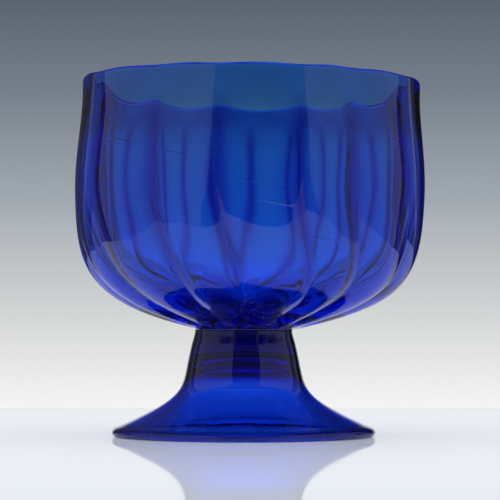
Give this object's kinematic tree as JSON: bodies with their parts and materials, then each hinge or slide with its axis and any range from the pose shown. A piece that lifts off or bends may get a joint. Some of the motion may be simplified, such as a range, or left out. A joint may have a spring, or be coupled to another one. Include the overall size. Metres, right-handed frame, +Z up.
{
  "type": "footed sugar bowl",
  "caption": "Hand-blown cobalt-blue glass sugar bowl with vertical rounded ribs, a narrow neck and a hollow trumpet foot with a folded edge.",
  "frame": {"origin": "on the table, below the middle of the bowl at its widest", "axes": "+Z up along the bowl; -Y towards the viewer of the picture, +X to that viewer's right"},
  "size_m": [0.1083, 0.1083, 0.1107],
  "materials": {
    "bowl_glass": "clear cobalt-blue glass, fire-polished, with faint cords in the metal",
    "foot_glass": "clear cobalt-blue glass, tool-smoothed, with fine circular tooling lines and a worn standing ring"
  },
  "bodies": {
    "root": {"bowl": "bowl_glass", "foot": "foot_glass"}
  },
  "joints": []
}
